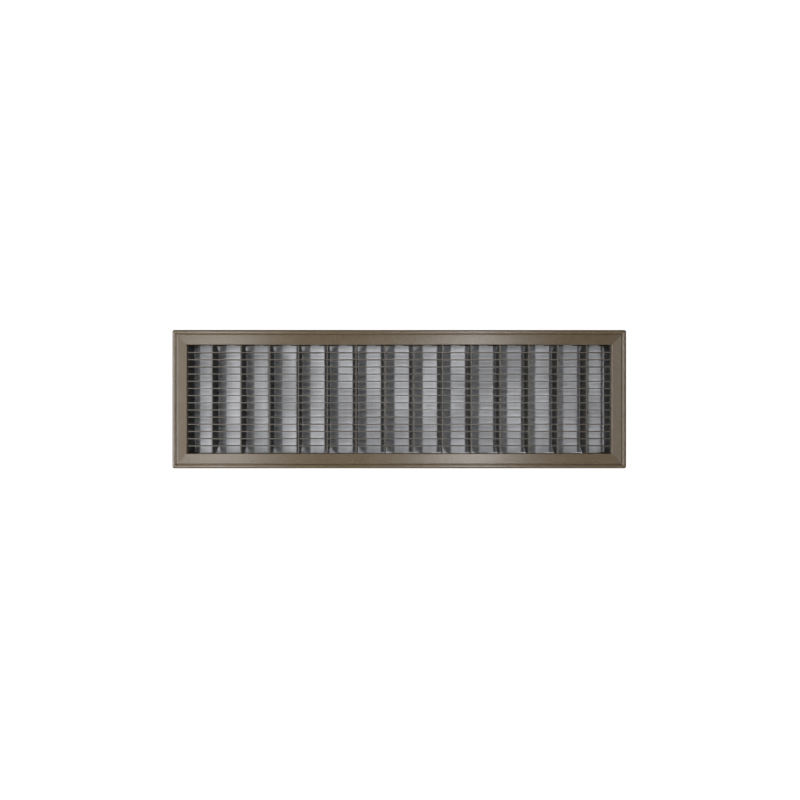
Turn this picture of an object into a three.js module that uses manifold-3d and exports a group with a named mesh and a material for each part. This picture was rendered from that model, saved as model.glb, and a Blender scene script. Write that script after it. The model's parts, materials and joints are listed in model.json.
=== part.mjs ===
// A steel supply-air register: a mitred flange frame with an egg-crate face of thin bars, and behind it
// a casing with fifteen pressed shutter blades that turn together, joined by one tie bar.
// Millimetres. X runs along the face, Z is up, and the front of the face looks towards -Y.
// The origin is the centre of the opening, in the plane of the wall that the flange rests on.
import * as THREE from "three";
import { mergeVertices } from "three/addons/utils/BufferGeometryUtils.js";
import Module from "manifold-3d";

const wasm = await Module();
wasm.setup();

// Flange frame
const FACE_WIDTH = 650;
const FACE_HEIGHT = 198.5;
const BORDER = 21.5; // from the outer edge to the lip of the opening
const FRAME_SHEET = 1.2;
const CORNER_RADIUS = 3;
const HEM_WIDTH = 5; // the edge turned in behind, which rests on the wall
const LIP_FRONT = 7.2; // how far the lip of the opening stands in front of the wall
const LIP_BACK = 1.6; // where the lip's return ends, in front of the wall
const FRAME_BEND = 1.45; // outside radius of its folds
const MITRE_GAP = 0.2;
const OPENING_X = FACE_WIDTH / 2 - BORDER; // half the opening
const OPENING_Z = FACE_HEIGHT / 2 - BORDER;

// Corner gussets, inside the hollow of the frame
const GUSSET_LEG = 48;
const GUSSET_WIDTH = 11;
const GUSSET_INSET = 8; // from the outer edge of the frame
const GUSSET_BACK = 2.4; // its rear face, in front of the wall
const GUSSET_SHEET = 1.5;

// Face bars and support bars
const FACE_BARS = 14;
const FACE_BAR_PITCH = 10.28;
const FACE_BAR_DEPTH = 9.5;
const BAR_SHEET = 1.5;
const BAR_FRONT = -6; // front edges of all the bars
const BAR_END_GAP = 0.4;
const SUPPORT_BARS = 14;
const CELL_WIDTH = 41.2; // pitch of the support bars, and of the blades behind them
const SUPPORT_REAR = 24;
const SUPPORT_CHAMFER_DEPTH = 15.5; // along Y, at both rear corners
const SUPPORT_CHAMFER_HEIGHT = 11; // along Z
const SLOT_CLEARANCE = 0.3;

// Casing
const CASING_SHEET = 1;
const CASING_BEND = 1.5;
const CASING_FRONT = -1.3;
const CASING_REAR = 40;
const CASING_X = 303; // half the width inside
const CASING_Z = 81.3; // half the height inside
const CASING_RETURN = 2.3; // the rear edge of each rail is turned in by this much
const CASING_GAP = 0.35; // between the end plates and the rails

// Shutter blades
const PIVOT_Y = 25;
const BLADE_SHEET = 0.8;
const BLADE_BEND = 1.2;
const BLADE_HALF = 78.2; // half the height of the sheet
const BLADE_RISE = 7.5; // the raised panel stands this far in front of the pivots
const RIGHT_LIP_RISE = 1.1;
const LAP_BEHIND = 2.5; // the left lip reaches past the support bar, behind the next blade's right lip
const LAP_FRONT = 1.2; // the right lip stops short of the support bar
const END_CLEARANCE = 0.5; // between an end blade and the casing
const STEP_RUN = 4.2; // width of the steep side on the right of the raised panel
const EAR_TOP = 79;
const EAR_SHEET = 1;
const EAR_WIDTH = 6.2; // half the width of the ear where it meets the panel
const PIVOT_RADIUS = 2;
const PIVOT_BOSS = 4;
const PIVOT_END = 82.3;
const PIVOT_HOLE = 2.1;
const CRANK_X = -9; // the crank pin, from the pivot
const CRANK_Y = 5.5;
const CRANK_RADIUS = 1.5;
const CRANK_BOSS = 2.8;
const CRANK_END = -80.9;
const CRANK_HOLE = 1.6;

// Tie bar
const TIE_BOTTOM = -80.4;
const TIE_SHEET = 1;
const TIE_WIDTH = 6;
const TIE_OVERHANG = 5;

const BEND_STEPS = 2;
const ROUND_SIDES = 12;
const ARC_STEPS = 3;

const enamel = () => new THREE.MeshStandardMaterial({ color: 0x6e6046, roughness: 0.4, metalness: 0.3 });
const barEnamel = () => new THREE.MeshStandardMaterial({ color: 0x5c523f, roughness: 0.45, metalness: 0.3 });
const zinc = () => new THREE.MeshStandardMaterial({ color: 0xa3a5a8, roughness: 0.45, metalness: 0.8 });
const bladeZinc = () => new THREE.MeshStandardMaterial({ color: 0xa8a9ac, roughness: 0.35, metalness: 0.8 });

const point = (x, y) => new THREE.Vector2(x, y);

// A mesh geometry as a closed solid that can be joined and cut.
function solidOf(geometry) {
  geometry.deleteAttribute("normal");
  geometry.deleteAttribute("uv");
  const merged = mergeVertices(geometry, 1e-4);
  return new wasm.Manifold(
    new wasm.Mesh({
      numProp: 3,
      vertProperties: new Float32Array(merged.attributes.position.array),
      triVerts: new Uint32Array(merged.index.array),
    }),
  );
}

function geometryOf(solid) {
  const mesh = solid.getMesh();
  const geometry = new THREE.BufferGeometry();
  geometry.setAttribute("position", new THREE.BufferAttribute(mesh.vertProperties, 3));
  geometry.setIndex(new THREE.BufferAttribute(mesh.triVerts, 1));
  geometry.computeVertexNormals();
  return geometry;
}

// A line of straight runs whose corners are rounded bends.
function foldedLine(corners, radius) {
  const path = new THREE.Path().moveTo(corners[0].x, corners[0].y);
  for (let i = 1; i < corners.length - 1; i++) {
    const back = corners[i - 1].clone().sub(corners[i]);
    const ahead = corners[i + 1].clone().sub(corners[i]);
    const turn = Math.PI - Math.abs(back.angleTo(ahead));
    const cut = radius * Math.tan(turn / 2);
    const start = back.setLength(cut).add(corners[i]);
    const end = ahead.setLength(cut).add(corners[i]);
    path.lineTo(start.x, start.y);
    path.quadraticCurveTo(corners[i].x, corners[i].y, end.x, end.y);
  }
  const last = corners[corners.length - 1];
  path.lineTo(last.x, last.y);
  return path.getPoints(BEND_STEPS);
}

// The outline of a bent sheet whose one side follows the line; the thickness goes to the line's left.
function bentSheet(line, thickness) {
  const normals = line.slice(1).map((end, i) => {
    const run = end.clone().sub(line[i]).normalize();
    return point(-run.y, run.x);
  });
  const farSide = line.map((corner, i) => {
    const before = normals[Math.max(i - 1, 0)];
    const after = normals[Math.min(i, normals.length - 1)];
    const spread = before.clone().add(after);
    return corner.clone().addScaledVector(spread, thickness / (1 + before.dot(after)));
  });
  return new THREE.Shape([...line, ...farSide.reverse()]);
}

// A flat outline given depth: along Z from a height, or along X with the outline in Y and Z.
function extrudeUp(shape, bottom, top, arcSteps = ARC_STEPS) {
  const options = { depth: top - bottom, bevelEnabled: false, curveSegments: arcSteps };
  return new THREE.ExtrudeGeometry(shape, options).translate(0, 0, bottom);
}

function extrudeAlongX(shape, from, to) {
  const yzx = new THREE.Matrix4().makeBasis(
    new THREE.Vector3(0, 1, 0),
    new THREE.Vector3(0, 0, 1),
    new THREE.Vector3(1, 0, 0),
  );
  return extrudeUp(shape, from, to).applyMatrix4(yzx);
}

function uprightCylinder(radius, bottom, top, x, y) {
  const cylinder = new THREE.CylinderGeometry(radius, radius, top - bottom, ROUND_SIDES);
  return cylinder.rotateX(Math.PI / 2).translate(x, y, (top + bottom) / 2);
}

function piece(name, geometry, material) {
  const mesh = new THREE.Mesh(geometry, material);
  mesh.name = name;
  return mesh;
}

const numbered = (name, i) => name + "_" + String(i).padStart(2, "0");

// Flange frame: four rails of folded sheet, mitred at the corners, each with a rolled outer bead, a fine
// groove, a gently rising face and a lip turned back into the opening.
function frameRail(halfLength, halfSpan) {
  const corners = [
    point(HEM_WIDTH, 0),
    point(0, 0),
    point(0, 4.6),
    point(1.7, 6.6),
    point(3.9, 6.6),
    point(5.7, 5.2),
    point(7.1, 6.1),
    point(BORDER, LIP_FRONT),
    point(BORDER, LIP_BACK),
  ];
  const line = foldedLine(corners, FRAME_BEND);
  const outline = bentSheet(line, -FRAME_SHEET).getPoints();
  // From (distance in from the outer edge, height in front of the wall) to Y and Z.
  const section = new THREE.Shape(outline.map((p) => point(-p.y, halfSpan - p.x)));
  const geometry = extrudeAlongX(section, -halfLength, halfLength);
  const position = geometry.attributes.position;
  const mitred = (z) => halfLength - (halfSpan - z) - MITRE_GAP / 2;
  for (let i = 0; i < position.count; i++) {
    position.setX(i, Math.sign(position.getX(i)) * mitred(position.getZ(i)));
  }
  return solidOf(geometry).intersect(roundedBlock(halfLength, halfSpan));
}

// A block with rounded upright corners, seen from the front, that trims the corners of the frame.
function roundedBlock(halfLength, halfSpan) {
  const shape = new THREE.Shape();
  const x = halfLength - CORNER_RADIUS;
  const z = halfSpan - CORNER_RADIUS;
  shape.absarc(x, z, CORNER_RADIUS, 0, Math.PI / 2);
  shape.absarc(-x, z, CORNER_RADIUS, Math.PI / 2, Math.PI);
  shape.absarc(-x, -z, CORNER_RADIUS, Math.PI, Math.PI * 1.5);
  shape.absarc(x, -z, CORNER_RADIUS, Math.PI * 1.5, Math.PI * 2);
  return solidOf(extrudeUp(shape, -20, 20).rotateX(Math.PI / 2));
}

function flangeFrame() {
  const group = new THREE.Group();
  const sides = [
    ["frame_top", FACE_WIDTH, FACE_HEIGHT, 0],
    ["frame_right", FACE_HEIGHT, FACE_WIDTH, Math.PI / 2],
    ["frame_bottom", FACE_WIDTH, FACE_HEIGHT, Math.PI],
    ["frame_left", FACE_HEIGHT, FACE_WIDTH, -Math.PI / 2],
  ];
  for (const [name, length, span, turn] of sides) {
    const rail = piece(name, geometryOf(frameRail(length / 2, span / 2)), enamel());
    rail.rotation.y = turn;
    group.add(rail);
  }
  return group;
}

// Corner gussets: flat angle plates that bridge the mitres from behind.
function cornerGussets() {
  const group = new THREE.Group();
  const angle = new THREE.Shape([
    point(0, 0),
    point(-GUSSET_LEG, 0),
    point(-GUSSET_LEG, -GUSSET_WIDTH),
    point(-GUSSET_WIDTH, -GUSSET_WIDTH),
    point(-GUSSET_WIDTH, -GUSSET_LEG),
    point(0, -GUSSET_LEG),
  ]);
  const plate = extrudeUp(angle, GUSSET_BACK, GUSSET_BACK + GUSSET_SHEET).rotateX(Math.PI / 2);
  const cornerX = FACE_WIDTH / 2 - GUSSET_INSET;
  const cornerZ = FACE_HEIGHT / 2 - GUSSET_INSET;
  const places = [
    ["gusset_top_right", cornerX, cornerZ, 0],
    ["gusset_top_left", -cornerX, cornerZ, -Math.PI / 2],
    ["gusset_bottom_left", -cornerX, -cornerZ, Math.PI],
    ["gusset_bottom_right", cornerX, -cornerZ, Math.PI / 2],
  ];
  for (const [name, x, z, turn] of places) {
    const gusset = piece(name, plate.clone(), zinc());
    gusset.rotation.y = turn;
    gusset.position.set(x, 0, z);
    group.add(gusset);
  }
  return group;
}

const faceBarZ = (j) => (j - (FACE_BARS + 1) / 2) * FACE_BAR_PITCH;
const supportBarX = (i) => (i - (SUPPORT_BARS + 1) / 2) * CELL_WIDTH;

// Face bars: straight flat bars on edge, one above the other across the whole opening.
function faceBars() {
  const group = new THREE.Group();
  const length = 2 * (CASING_X - CASING_GAP);
  for (let j = 1; j <= FACE_BARS; j++) {
    const bar = piece(
      numbered("face_bar", j),
      new THREE.BoxGeometry(length, FACE_BAR_DEPTH, BAR_SHEET),
      barEnamel(),
    );
    bar.position.set(0, BAR_FRONT + FACE_BAR_DEPTH / 2, faceBarZ(j));
    group.add(bar);
  }
  return group;
}

// Support bars: deeper upright bars, slotted from the front so that the face bars drop in flush. Behind the
// lip of the frame they reach out to the casing, and their rear corners are cut off at a slant.
function supportBarOutline() {
  const tabEnd = OPENING_Z - BAR_END_GAP;
  const tabBack = -LIP_BACK + BAR_END_GAP;
  const bodyEnd = CASING_Z - CASING_GAP;
  const slotBack = BAR_FRONT + FACE_BAR_DEPTH + SLOT_CLEARANCE;
  const slotHalf = BAR_SHEET / 2 + SLOT_CLEARANCE;
  const chamferStart = SUPPORT_REAR - SUPPORT_CHAMFER_DEPTH;
  const chamferEnd = bodyEnd - SUPPORT_CHAMFER_HEIGHT;
  const outline = [
    point(BAR_FRONT, -tabEnd),
    point(tabBack, -tabEnd),
    point(tabBack, -bodyEnd),
    point(chamferStart, -bodyEnd),
    point(SUPPORT_REAR, -chamferEnd),
    point(SUPPORT_REAR, chamferEnd),
    point(chamferStart, bodyEnd),
    point(tabBack, bodyEnd),
    point(tabBack, tabEnd),
    point(BAR_FRONT, tabEnd),
  ];
  for (let j = FACE_BARS; j >= 1; j--) {
    outline.push(
      point(BAR_FRONT, faceBarZ(j) + slotHalf),
      point(slotBack, faceBarZ(j) + slotHalf),
      point(slotBack, faceBarZ(j) - slotHalf),
      point(BAR_FRONT, faceBarZ(j) - slotHalf),
    );
  }
  return new THREE.Shape(outline);
}

function supportBars() {
  const group = new THREE.Group();
  const plate = extrudeAlongX(supportBarOutline(), -BAR_SHEET / 2, BAR_SHEET / 2);
  for (let i = 1; i <= SUPPORT_BARS; i++) {
    const bar = piece(numbered("support_bar", i), plate.clone(), barEnamel());
    bar.position.x = supportBarX(i);
    group.add(bar);
  }
  return group;
}

// The cells behind the face: one blade in each. The two end cells are narrower, up to the casing.
function bladeCells() {
  const cells = [];
  for (let k = 1; k <= SUPPORT_BARS + 1; k++) {
    const first = k === 1;
    const last = k === SUPPORT_BARS + 1;
    const left = first ? -CASING_X : supportBarX(k - 1);
    const right = last ? CASING_X : supportBarX(k);
    cells.push({
      name: numbered("blade", k),
      x: (left + right) / 2,
      half: (right - left) / 2,
      leftLap: first ? -END_CLEARANCE : LAP_BEHIND,
      rightStop: last ? END_CLEARANCE : LAP_FRONT,
      wing: first || last ? 1.4 : 1.6,
      slopeRun: first || last ? 9.2 : 12.4,
      rightMargin: first || last ? 7 : 6.5,
    });
  }
  return cells;
}

// One blade: a pressed sheet with a raised panel between a slanted left side and a steep right side, a lip
// along each edge, an ear with a pivot pin at each end, and a crank pin under the lower ear.
function bladeSolid(cell) {
  const panelLeft = -cell.half + cell.wing + cell.slopeRun;
  const panelRight = cell.half - cell.rightMargin;
  const corners = [
    point(-cell.half - cell.leftLap, 0),
    point(-cell.half + cell.wing, 0),
    point(panelLeft, -BLADE_RISE),
    point(panelRight, -BLADE_RISE),
    point(panelRight + STEP_RUN, -RIGHT_LIP_RISE),
    point(cell.half - cell.rightStop, -RIGHT_LIP_RISE),
  ];
  const profile = bentSheet(foldedLine(corners, BLADE_BEND), BLADE_SHEET);
  let solid = solidOf(extrudeUp(profile, -BLADE_HALF, BLADE_HALF));
  for (const bottom of [EAR_TOP - EAR_SHEET, -EAR_TOP]) {
    solid = solid.add(solidOf(extrudeUp(earOutline(), bottom, bottom + EAR_SHEET)));
  }
  solid = solid.add(solidOf(extrudeUp(crankOutline(), -EAR_TOP, EAR_SHEET - EAR_TOP)));
  const rooted = EAR_TOP - EAR_SHEET / 2;
  const pins = [
    uprightCylinder(PIVOT_RADIUS, rooted, PIVOT_END, 0, 0),
    uprightCylinder(PIVOT_RADIUS, -PIVOT_END, -rooted, 0, 0),
    uprightCylinder(CRANK_RADIUS, CRANK_END, -rooted, CRANK_X, CRANK_Y),
  ];
  for (const pin of pins) {
    solid = solid.add(solidOf(pin));
  }
  return solid;
}

// The ear: wide where it meets the back of the raised panel, round about the pivot.
function earOutline() {
  const panelBack = -BLADE_RISE + BLADE_SHEET / 2;
  const shape = new THREE.Shape();
  shape.moveTo(-EAR_WIDTH, panelBack);
  shape.lineTo(EAR_WIDTH, panelBack);
  shape.absarc(0, 0, PIVOT_BOSS, 0, Math.PI);
  return shape;
}

// The crank: a round-ended arm from the pivot to the crank pin.
function crankOutline() {
  const lean = Math.atan2(CRANK_Y, CRANK_X);
  const shape = new THREE.Shape();
  shape.absarc(CRANK_X, CRANK_Y, CRANK_BOSS, lean - Math.PI / 2, lean + Math.PI / 2);
  shape.absarc(0, 0, CRANK_BOSS, lean + Math.PI / 2, lean + Math.PI * 1.5);
  return shape;
}

function shutterBlades() {
  const group = new THREE.Group();
  for (const cell of bladeCells()) {
    const blade = piece(cell.name, geometryOf(bladeSolid(cell)), bladeZinc());
    blade.position.set(cell.x, PIVOT_Y, 0);
    group.add(blade);
  }
  return group;
}

// Casing: two long rails that hold the pivots, and two end plates. Their front edges are turned outwards
// and lie inside the hollow of the frame. The rear edges of the rails are turned in, and the end plates are
// notched to clear them.
function casing() {
  const group = new THREE.Group();
  const reachZ = FACE_HEIGHT / 2 - HEM_WIDTH - 0.5;
  const reachX = FACE_WIDTH / 2 - HEM_WIDTH - 0.5;
  const railRear = CASING_REAR - CASING_SHEET;
  const returnEdge = CASING_Z - CASING_RETURN;
  const railLine = [
    point(railRear, returnEdge),
    point(railRear, CASING_Z),
    point(CASING_FRONT, CASING_Z),
    point(CASING_FRONT, reachZ),
  ];
  const railSection = bentSheet(foldedLine(railLine, CASING_BEND), -CASING_SHEET);
  const railEnd = CASING_X + CASING_SHEET;
  for (const [name, side] of [["casing_rail_top", 1], ["casing_rail_bottom", -1]]) {
    let rail = solidOf(extrudeAlongX(railSection, -railEnd, railEnd));
    for (const cell of bladeCells()) {
      const hole = uprightCylinder(PIVOT_HOLE, CASING_Z - 1, CASING_Z + CASING_SHEET + 1, cell.x, PIVOT_Y);
      rail = rail.subtract(solidOf(hole));
    }
    const mesh = piece(name, geometryOf(side > 0 ? rail : rail.mirror([0, 0, 1])), zinc());
    group.add(mesh);
  }
  const endLine = [point(CASING_X, CASING_REAR), point(CASING_X, CASING_FRONT), point(reachX, CASING_FRONT)];
  const endSection = bentSheet(foldedLine(endLine, CASING_BEND), CASING_SHEET);
  const endHalf = CASING_Z - CASING_GAP;
  const notchHeight = CASING_RETURN;
  const notchDepth = CASING_SHEET + CASING_GAP;
  for (const [name, side] of [["casing_end_right", 1], ["casing_end_left", -1]]) {
    let end = solidOf(extrudeUp(endSection, -endHalf, endHalf));
    for (const z of [-endHalf, endHalf]) {
      const notch = new THREE.BoxGeometry(4 * CASING_SHEET, 2 * notchDepth, 2 * notchHeight);
      notch.translate(CASING_X, CASING_REAR, z);
      end = end.subtract(solidOf(notch));
    }
    const mesh = piece(name, geometryOf(side > 0 ? end : end.mirror([1, 0, 0])), zinc());
    group.add(mesh);
  }
  return group;
}

// Tie bar: a flat strip with a hole for each crank pin, so that one push turns every blade.
function tieBar() {
  const cells = bladeCells();
  const from = cells[0].x + CRANK_X - TIE_OVERHANG;
  const to = cells[cells.length - 1].x + CRANK_X + TIE_OVERHANG;
  const strip = new THREE.Shape([
    point(from, -TIE_WIDTH / 2),
    point(to, -TIE_WIDTH / 2),
    point(to, TIE_WIDTH / 2),
    point(from, TIE_WIDTH / 2),
  ]);
  for (const cell of cells) {
    strip.holes.push(new THREE.Path().absarc(cell.x + CRANK_X, 0, CRANK_HOLE, 0, 2 * Math.PI, true));
  }
  const mesh = piece("tie_bar", extrudeUp(strip, TIE_BOTTOM, TIE_BOTTOM + TIE_SHEET, ROUND_SIDES / 2), zinc());
  mesh.position.y = PIVOT_Y + CRANK_Y;
  return mesh;
}

const register = new THREE.Group();
register.add(flangeFrame(), cornerGussets(), faceBars(), supportBars(), casing(), shutterBlades(), tieBar());

export default register;
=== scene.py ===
"""A louvred supply-air register: folded enamel frame, egg-crate face and a shutter of pressed blades.

Laid out as a Blender add-on. The CAD model is loaded as a fixed frame, and each operator builds one piece, or
one group of like pieces, in its place. Metres, in the frame's own axes: X along the face,
Y into the duct, Z up.
"""

import json
import math

import bmesh
import bpy
from bpy.props import FloatProperty, FloatVectorProperty, IntProperty, PointerProperty
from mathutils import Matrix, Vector


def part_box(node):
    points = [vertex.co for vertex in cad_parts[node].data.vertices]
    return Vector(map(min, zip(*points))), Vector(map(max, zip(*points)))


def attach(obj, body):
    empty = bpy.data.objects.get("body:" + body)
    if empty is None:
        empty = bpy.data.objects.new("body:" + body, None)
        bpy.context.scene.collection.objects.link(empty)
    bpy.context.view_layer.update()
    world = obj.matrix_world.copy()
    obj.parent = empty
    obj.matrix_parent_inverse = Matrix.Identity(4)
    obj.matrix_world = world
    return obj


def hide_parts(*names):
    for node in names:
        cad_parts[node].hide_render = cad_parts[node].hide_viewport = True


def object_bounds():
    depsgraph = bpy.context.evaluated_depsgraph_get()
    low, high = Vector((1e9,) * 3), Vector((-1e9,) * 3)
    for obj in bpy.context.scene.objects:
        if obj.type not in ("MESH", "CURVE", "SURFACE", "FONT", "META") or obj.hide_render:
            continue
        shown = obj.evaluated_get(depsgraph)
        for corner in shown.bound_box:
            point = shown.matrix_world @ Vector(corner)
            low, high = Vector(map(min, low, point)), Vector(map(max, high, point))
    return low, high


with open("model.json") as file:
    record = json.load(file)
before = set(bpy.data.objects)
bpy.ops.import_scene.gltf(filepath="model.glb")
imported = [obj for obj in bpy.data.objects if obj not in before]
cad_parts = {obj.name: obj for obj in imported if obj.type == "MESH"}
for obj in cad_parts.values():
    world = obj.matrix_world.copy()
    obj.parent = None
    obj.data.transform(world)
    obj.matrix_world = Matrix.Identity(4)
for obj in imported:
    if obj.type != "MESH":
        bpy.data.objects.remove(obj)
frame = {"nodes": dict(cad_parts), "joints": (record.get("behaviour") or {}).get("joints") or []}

bl_info = {
    "name": "Louvred Supply Register",
    "version": (1, 0, 0),
    "blender": (4, 5, 0),
    "location": "View3D > Sidebar > Register",
    "description": "Builds the frame, bars, shutter, casing, finishes and studio of a louvred air register",
    "category": "Object",
}

MM = 0.001
CAD_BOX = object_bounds()
HALF_X = CAD_BOX[1][0]
HALF_Z = CAD_BOX[1][2]
LIP_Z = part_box("frame_top")[0].z
BORDER = HALF_Z - LIP_Z
FACE_BARS = sorted(n for n in frame["nodes"] if n.startswith("face_bar"))
SUPPORT_BARS = sorted(n for n in frame["nodes"] if n.startswith("support_bar"))
BLADES = sorted(n for n in frame["nodes"] if n.startswith("blade"))
PIVOTS = {j["child"]: Vector(j["pos_m"]) for j in frame["joints"]}
CASING_X = -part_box("casing_end_left")[1].x
CASING_SHEET = 1.0 * MM
CASING_RETURN = 2.3 * MM
CASING_FOLD = 1.4 * MM
CASING_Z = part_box("casing_rail_top")[0].z + CASING_RETURN
PIN_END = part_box("blade_08")[1].z
# From a blade's pivot to its crank pin, with the shutter shut.
CRANK = Vector((-9 * MM, 5.5 * MM, 0))
# How far apart two places may be and still count as the same.
SAME = 1e-6
# The same for a place on a curve.
NEAR = 0.01 * MM


# ---------------------------------------------------------------- properties


class FrameSizes(bpy.types.PropertyGroup):
    sheet: FloatProperty(
        name="Sheet", description="Thickness of the folded frame sheet", default=1.2 * MM, unit="LENGTH"
    )
    corner: FloatProperty(
        name="Corner radius", description="Radius of the outer corners", default=3 * MM, unit="LENGTH"
    )
    hem: FloatProperty(
        name="Hem", description="Width of the edge turned in behind", default=5 * MM, unit="LENGTH"
    )
    bead_height: FloatProperty(
        name="Bead height", description="Crown of the outer bead above the wall", default=6.6 * MM,
        unit="LENGTH",
    )
    groove: FloatProperty(
        name="Groove", description="Depth of the groove below the face", default=0.8 * MM, unit="LENGTH"
    )
    face_height: FloatProperty(
        name="Face height", description="Height of the lip above the wall", default=7.0 * MM, unit="LENGTH"
    )
    seam: FloatProperty(
        name="Mitre seam", description="Chamfer along the corner seams", default=0.42 * MM, unit="LENGTH"
    )


class BarSizes(bpy.types.PropertyGroup):
    edge: FloatProperty(
        name="Edge", description="Rounding of the bar edges", default=0.28 * MM, unit="LENGTH"
    )
    slot_play: FloatProperty(
        name="Slot play", description="Room round a face bar in its slot", default=0.08 * MM, unit="LENGTH"
    )


class BladeSizes(bpy.types.PropertyGroup):
    sheet: FloatProperty(
        name="Sheet", description="Thickness of the blade sheet", default=0.8 * MM, unit="LENGTH"
    )
    bend: FloatProperty(
        name="Bend", description="How far each bend is rounded", default=0.9 * MM, unit="LENGTH"
    )
    bend_steps: IntProperty(
        name="Bend steps", description="Facets in each bend", default=5, min=2, max=12
    )


class Colours(bpy.types.PropertyGroup):
    enamel: FloatVectorProperty(
        name="Enamel", description="Frame enamel", subtype="COLOR", size=4, min=0, max=1,
        default=(0.062, 0.042, 0.0205, 1),
    )
    # Painted shade: the bars and the casing wear the same brown enamel as the frame, but this colour is set far
    # darker so that their deep sides and insides read as in shade.
    bar_enamel: FloatVectorProperty(
        name="Bar enamel", description="Enamel of the bars and the casing", subtype="COLOR", size=4,
        min=0, max=1,
        default=(0.011, 0.009, 0.007, 1),
    )
    # Painted highlight: this lighter colour on the bars' front edges stands for light falling on the front,
    # against the painted shade of their darkened sides.
    lit_bar_front: FloatVectorProperty(
        name="Bar edge", description="Front edges of the bars, where the enamel is thin", subtype="COLOR",
        size=4, min=0, max=1, default=(0.038, 0.031, 0.021, 1),
    )
    zinc: FloatVectorProperty(
        name="Zinc", description="Zinc of the shutter blades", subtype="COLOR", size=4, min=0, max=1,
        default=(0.42, 0.425, 0.44, 1),
    )
    floor: FloatVectorProperty(
        name="Floor", description="Studio floor", subtype="COLOR", size=4, min=0, max=1,
        default=(0.92, 0.92, 0.92, 1),
    )


# ---------------------------------------------------------------- modelling helpers


def alone(obj):
    """Makes obj the only selected object, and the active one."""
    bpy.ops.object.select_all(action="DESELECT")
    obj.select_set(True)
    bpy.context.view_layer.objects.active = obj


def edit(obj):
    alone(obj)
    bpy.ops.object.mode_set(mode="EDIT")


def done():
    bpy.ops.object.mode_set(mode="OBJECT")


def pick(kind, test):
    """Selects only the vertices, edges or faces of the mesh being edited that pass the test."""
    bpy.ops.mesh.select_mode(type=kind)
    bpy.ops.mesh.select_all(action="DESELECT")
    mesh = bmesh.from_edit_mesh(bpy.context.edit_object.data)
    for item in {"VERT": mesh.verts, "EDGE": mesh.edges, "FACE": mesh.faces}[kind]:
        item.select_set(test(item))
    mesh.select_flush_mode()
    bmesh.update_edit_mesh(bpy.context.edit_object.data)


def middle(item):
    """The centre of an edge or a face."""
    return sum((v.co for v in item.verts), Vector()) / len(item.verts)


def push(x=0.0, y=0.0, z=0.0):
    bpy.ops.mesh.extrude_region_move(TRANSFORM_OT_translate={"value": (x, y, z)})


def tidy_mesh():
    """Merges doubles and turns every face outwards, on the mesh being edited."""
    bpy.ops.mesh.select_mode(type="VERT")
    bpy.ops.mesh.select_all(action="SELECT")
    bpy.ops.mesh.remove_doubles(threshold=SAME)
    bpy.ops.mesh.normals_make_consistent(inside=False)


def block(low, high):
    """A block between two corners, with its size and place in its mesh."""
    size = Vector(high) - Vector(low)
    bpy.ops.object.select_all(action="DESELECT")
    bpy.ops.mesh.primitive_cube_add(size=1, location=(Vector(low) + Vector(high)) / 2)
    obj = bpy.context.object
    obj.scale = size
    bpy.ops.object.transform_apply(location=True, rotation=True, scale=True)
    return obj


def rod(radius, bottom, top, x, y, sides=32):
    """An upright cylinder, with its place in its mesh."""
    bpy.ops.object.select_all(action="DESELECT")
    bpy.ops.mesh.primitive_cylinder_add(
        vertices=sides, radius=radius, depth=top - bottom, location=(x, y, (top + bottom) / 2)
    )
    obj = bpy.context.object
    bpy.ops.object.transform_apply(location=True, rotation=True, scale=True)
    return obj


def apply_modifier(obj, kind, **settings):
    alone(obj)
    modifier = obj.modifiers.new(kind.title(), kind)
    for key, value in settings.items():
        setattr(modifier, key, value)
    bpy.ops.object.modifier_apply(modifier=modifier.name)


def cut_or_join(obj, other, operation):
    """Cuts the other solid from obj, or joins it on, and removes it."""
    apply_modifier(obj, "BOOLEAN", object=other, operation=operation, solver="EXACT")
    bpy.data.objects.remove(other)


def weld(obj):
    """Merges the crowded corners that a union of round parts leaves, and joins flat faces into one."""
    edit(obj)
    bpy.ops.mesh.select_all(action="SELECT")
    bpy.ops.mesh.remove_doubles(threshold=0.05 * MM)
    bpy.ops.mesh.select_all(action="SELECT")
    bpy.ops.mesh.dissolve_limited(angle_limit=0.01)
    done()


def soften(obj, width, steps=2, angle=30):
    """Rounds the sharp edges of a finished solid."""
    apply_modifier(
        obj, "BEVEL", width=width, segments=steps, limit_method="ANGLE", angle_limit=math.radians(angle),
        use_clamp_overlap=True,
    )


def folded_sheet(corners, low_z, high_z):
    """An upright sheet folded along a line of (x, y) corners, the first run parallel to X."""
    (x0, y0), (x1, _) = corners[0], corners[1]
    bpy.ops.object.select_all(action="DESELECT")
    bpy.ops.mesh.primitive_plane_add(
        size=1, rotation=(math.pi / 2, 0, 0), location=((x0 + x1) / 2, y0, (low_z + high_z) / 2)
    )
    obj = bpy.context.object
    obj.scale = (abs(x1 - x0), high_z - low_z, 1)
    bpy.ops.object.transform_apply(location=True, rotation=True, scale=True)
    edit(obj)
    for (x, y), (next_x, next_y) in zip(corners[1:], corners[2:]):
        here = Vector((x, y))
        pick("EDGE", lambda e: all((v.co.xy - here).length < SAME for v in e.verts))
        push(next_x - x, next_y - y)
    done()
    return obj


def copy_of(obj, name, shift):
    twin = bpy.data.objects.new(name, obj.data.copy())
    bpy.context.scene.collection.objects.link(twin)
    twin.data.transform(twin.matrix_world.Translation(shift))
    return twin


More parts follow.
